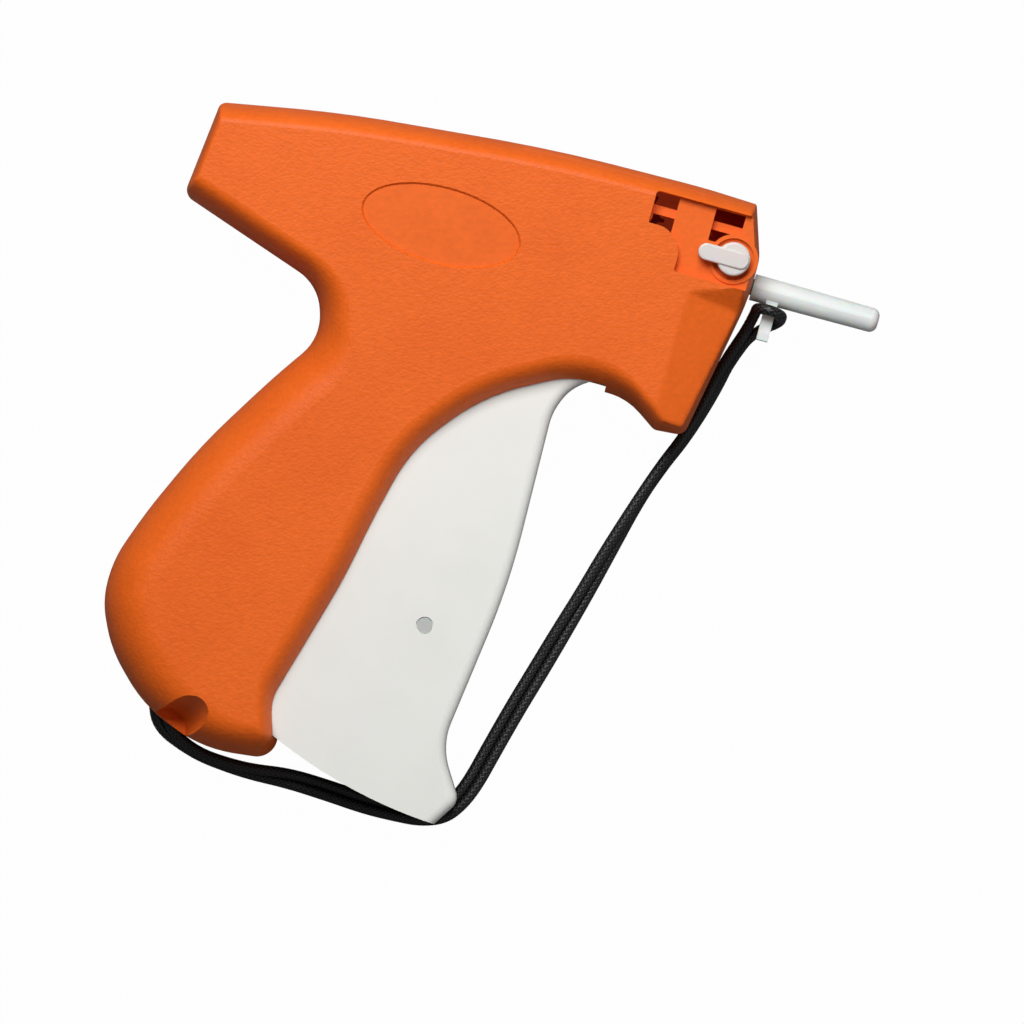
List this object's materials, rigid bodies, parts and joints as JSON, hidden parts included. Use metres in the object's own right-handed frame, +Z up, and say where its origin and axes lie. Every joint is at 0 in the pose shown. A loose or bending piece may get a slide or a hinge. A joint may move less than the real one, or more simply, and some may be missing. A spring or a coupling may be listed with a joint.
{
  "type": "garment tag attacher",
  "caption": "Hand-held trigger tool that pushes plastic tag fasteners through a hollow needle, with a capped needle, a needle lock knob and a lanyard cord.",
  "frame": {"origin": "on the table plane that the tool lies on, under the needle axis and in line with the trigger pivot", "axes": "+X forward along the needle, +Y towards the top of the tool in use, +Z up out of its right side; the tool lies on its left side"},
  "size_m": [0.1438, 0.1427, 0.027],
  "materials": {
    "orange_shell": "fine leather grain, semi-gloss",
    "white_plastic": "smooth, semi-gloss",
    "frosted_plastic": "milky, translucent",
    "gear_plastic": "natural acetal",
    "feed_plastic": "brown acetal",
    "hub_plastic": "moulded",
    "steel": "turned and polished",
    "spring_steel": "drawn",
    "rubber_pad": "moulded",
    "black_cord": "tight round braid"
  },
  "bodies": {
    "casing": {"right_shell": "orange_shell", "left_shell": "orange_shell", "case_screws": "steel", "trigger_pivot_pin": "steel", "gear_shaft": "steel", "feed_axle": "steel", "rod_guide": "steel", "needle_hub": "hub_plastic", "needle": "steel", "cutter_blade": "spring_steel", "rear_bumper": "rubber_pad", "detent_spring": "spring_steel", "lanyard_post": "steel", "spring_seat": "gear_plastic", "cord_crimp": "steel", "strap_cord": "black_cord"},
    "trigger": {"trigger": "white_plastic", "trigger_cross_pin": "white_plastic", "trigger_return_spring": "spring_steel"},
    "cluster": {"cluster_gear": "gear_plastic"},
    "slide": {"push_slide": "gear_plastic", "push_rod": "steel", "rod_clamp_screw": "steel", "pawl_pin": "steel"},
    "pawl": {"feed_pawl": "gear_plastic"},
    "wheel": {"feed_wheel": "feed_plastic", "ratchet_wheel": "feed_plastic"},
    "knob": {"needle_lock_knob": "frosted_plastic", "knob_clip": "spring_steel"},
    "cap": {"needle_cap": "frosted_plastic"}
  },
  "joints": [
    {"name": "trigger_squeeze", "type": "hinge", "parent": "casing", "child": "trigger", "pos_m": [0, -0.0213, 0.013], "axis": [0, 0, -1], "range_deg": [0, 20], "stiffness_Nm_per_rad": 0.8, "springref_deg": -20.05, "deforming": ["trigger_return_spring"]},
    {"name": "cluster_turn", "type": "hinge", "parent": "casing", "child": "cluster", "pos_m": [-0.03359, -0.0205, 0.013], "axis": [0, 0, -1], "range_deg": [0, 172.8]},
    {"name": "slide_push", "type": "slide", "parent": "casing", "child": "slide", "axis": [1, 0, 0], "range_m": [0, 0.04372]},
    {"name": "pawl_tilt", "type": "hinge", "parent": "slide", "child": "pawl", "pos_m": [-0.0365, -0.0033, 0.0097], "axis": [0, 0, 1], "range_deg": [0, 25], "stiffness_Nm_per_rad": 0.002, "springref_deg": -11.46},
    {"name": "wheel_turn", "type": "hinge", "parent": "casing", "child": "wheel", "pos_m": [0.0025, 0.0082, 0.0107], "axis": [0, 0, 1], "continuous": true},
    {"name": "knob_turn", "type": "hinge", "parent": "casing", "child": "knob", "pos_m": [0.0232, 0.0041, 0.025], "axis": [0, 0, -1], "range_deg": [0, 90]},
    {"name": "cap_pull", "type": "slide", "parent": "casing", "child": "cap", "axis": [1, 0, 0], "range_m": [0, 0.028], "deforming": ["strap_cord"]}
  ],
  "couplings": [
    {"joint": "cluster_turn", "follows": "trigger_squeeze", "ratio": 8.6364},
    {"joint": "slide_push", "follows": "trigger_squeeze", "m_per_rad": 0.12523}
  ]
}
